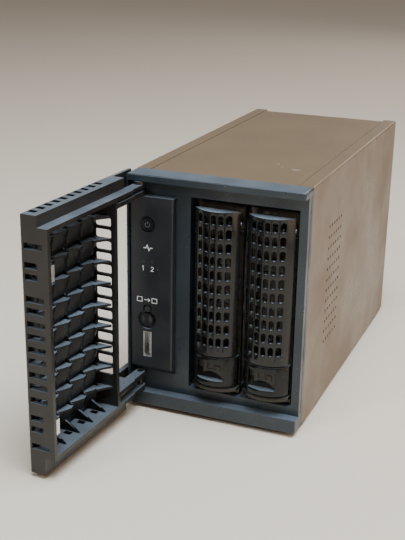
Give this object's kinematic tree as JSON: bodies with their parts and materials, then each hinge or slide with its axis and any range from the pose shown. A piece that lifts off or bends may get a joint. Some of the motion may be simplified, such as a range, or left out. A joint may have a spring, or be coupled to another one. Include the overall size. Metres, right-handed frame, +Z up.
{
  "type": "network attached storage",
  "caption": "Upright desktop network storage case with hot-swap drive trays behind an open louvred front door, a control panel, side vents and a rear fan.",
  "frame": {"origin": "centre of the case's footprint on the plane its rubber feet stand on, half-way between the front lips and the back", "axes": "+X to the right seen from the front, +Y from the front to the back, +Z up"},
  "size_m": [0.111, 0.303, 0.1385],
  "materials": {
    "case_paint": "satin",
    "sheet_steel": "satin",
    "front_plastic": "satin",
    "fascia_plastic": "satin",
    "door_plastic": "satin",
    "grille_plastic": "satin",
    "magnet_steel": "bright",
    "rubber": "matte",
    "screw_steel": "satin",
    "ring_lens": "translucent",
    "pipe_lens": "translucent",
    "port_steel": "bright",
    "port_black": "satin",
    "board_green": "solder mask",
    "guide_plastic": "matte",
    "heatsink_alu": "satin",
    "chip_black": "matte",
    "capacitor_case": "satin",
    "cell_steel": "bright",
    "fan_plastic": "satin",
    "cable_jacket": "satin",
    "button_plastic": "satin",
    "tray_plastic": "satin",
    "handle_plastic": "satin",
    "latch_plastic": "satin",
    "drive_alloy": "cast",
    "drive_cover_steel": "satin"
  },
  "bodies": {
    "case": {"backplane_board": "board_green", "backplane_sockets": "port_black", "base_pan": "sheet_steel", "board_capacitors": "capacitor_case", "board_chips": "chip_black", "cage_guides": "guide_plastic", "case_screws": "screw_steel", "coin_cell": "cell_steel", "control_fascia": "fascia_plastic", "drive_cage": "sheet_steel", "ethernet_jack": "port_black", "fan_cable": "cable_jacket", "fan_housing": "fan_plastic", "fan_screws": "screw_steel", "front_bezel": "front_plastic", "front_board": "board_green", "front_leds": "pipe_lens", "front_ribbon_cable": "cable_jacket", "front_switches": "port_black", "front_usb_port": "port_steel", "hinge_pins": "port_black", "left_side_panel": "case_paint", "main_board": "board_green", "port_board": "board_green", "power_inlet": "port_black", "power_light_ring": "ring_lens", "processor_heatsink": "heatsink_alu", "rear_panel": "sheet_steel", "rear_usb_ports": "port_steel", "right_side_panel": "case_paint", "rubber_feet": "rubber", "status_light_pipes": "pipe_lens", "strike_plates": "magnet_steel", "top_panel": "case_paint"},
    "door": {"door_shell": "door_plastic", "door_mesh": "grille_plastic", "door_magnets": "magnet_steel"},
    "power_button": {"power_button": "button_plastic"},
    "backup_button": {"backup_button": "button_plastic"},
    "reset_button": {"reset_button": "button_plastic"},
    "fan_rotor": {"fan_rotor": "fan_plastic"},
    "tray_1": {"tray_1_sled": "tray_plastic", "tray_1_latch_block": "tray_plastic", "tray_1_drive_casting": "drive_alloy", "tray_1_drive_cover": "drive_cover_steel", "tray_1_drive_board": "board_green", "tray_1_drive_screws": "screw_steel", "tray_1_handle_pin": "screw_steel"},
    "handle_1": {"tray_1_handle": "handle_plastic"},
    "latch_1": {"tray_1_latch": "latch_plastic"},
    "tray_2": {"tray_2_sled": "tray_plastic", "tray_2_latch_block": "tray_plastic", "tray_2_drive_casting": "drive_alloy", "tray_2_drive_cover": "drive_cover_steel", "tray_2_drive_board": "board_green", "tray_2_drive_screws": "screw_steel", "tray_2_handle_pin": "screw_steel"},
    "handle_2": {"tray_2_handle": "handle_plastic"},
    "latch_2": {"tray_2_latch": "latch_plastic"}
  },
  "joints": [
    {"name": "door_hinge", "type": "hinge", "parent": "case", "child": "door", "pos_m": [-0.0434, -0.1035, 0.0705], "axis": [0, 0, -1], "range_deg": [-93.3, 6.7]},
    {"name": "power_button_press", "type": "slide", "parent": "case", "child": "power_button", "axis": [0, 1, 0], "range_m": [0, 0.0008], "stiffness_N_per_m": 400},
    {"name": "backup_button_press", "type": "slide", "parent": "case", "child": "backup_button", "axis": [0, 1, 0], "range_m": [0, 0.0008], "stiffness_N_per_m": 400},
    {"name": "reset_button_press", "type": "slide", "parent": "case", "child": "reset_button", "axis": [0, -1, 0], "range_m": [0, 0.0008], "stiffness_N_per_m": 400},
    {"name": "fan_spin", "type": "hinge", "parent": "case", "child": "fan_rotor", "pos_m": [0, 0.0885, 0.0935], "axis": [0, 1, 0], "continuous": true},
    {"name": "tray_1_slide", "type": "slide", "parent": "case", "child": "tray_1", "axis": [0, -1, 0], "range_m": [0, 0.17]},
    {"name": "handle_1_swing", "type": "hinge", "parent": "tray_1", "child": "handle_1", "pos_m": [0.0015, -0.0995, 0.1165], "axis": [-1, 0, 0], "range_deg": [0, 45]},
    {"name": "latch_1_press", "type": "slide", "parent": "tray_1", "child": "latch_1", "axis": [-1, 0, 0], "range_m": [0, 0.0028], "stiffness_N_per_m": 400},
    {"name": "tray_2_slide", "type": "slide", "parent": "case", "child": "tray_2", "axis": [0, -1, 0], "range_m": [0, 0.17]},
    {"name": "handle_2_swing", "type": "hinge", "parent": "tray_2", "child": "handle_2", "pos_m": [0.0315, -0.0995, 0.1165], "axis": [-1, 0, 0], "range_deg": [0, 45]},
    {"name": "latch_2_press", "type": "slide", "parent": "tray_2", "child": "latch_2", "axis": [-1, 0, 0], "range_m": [0, 0.0028], "stiffness_N_per_m": 400}
  ]
}
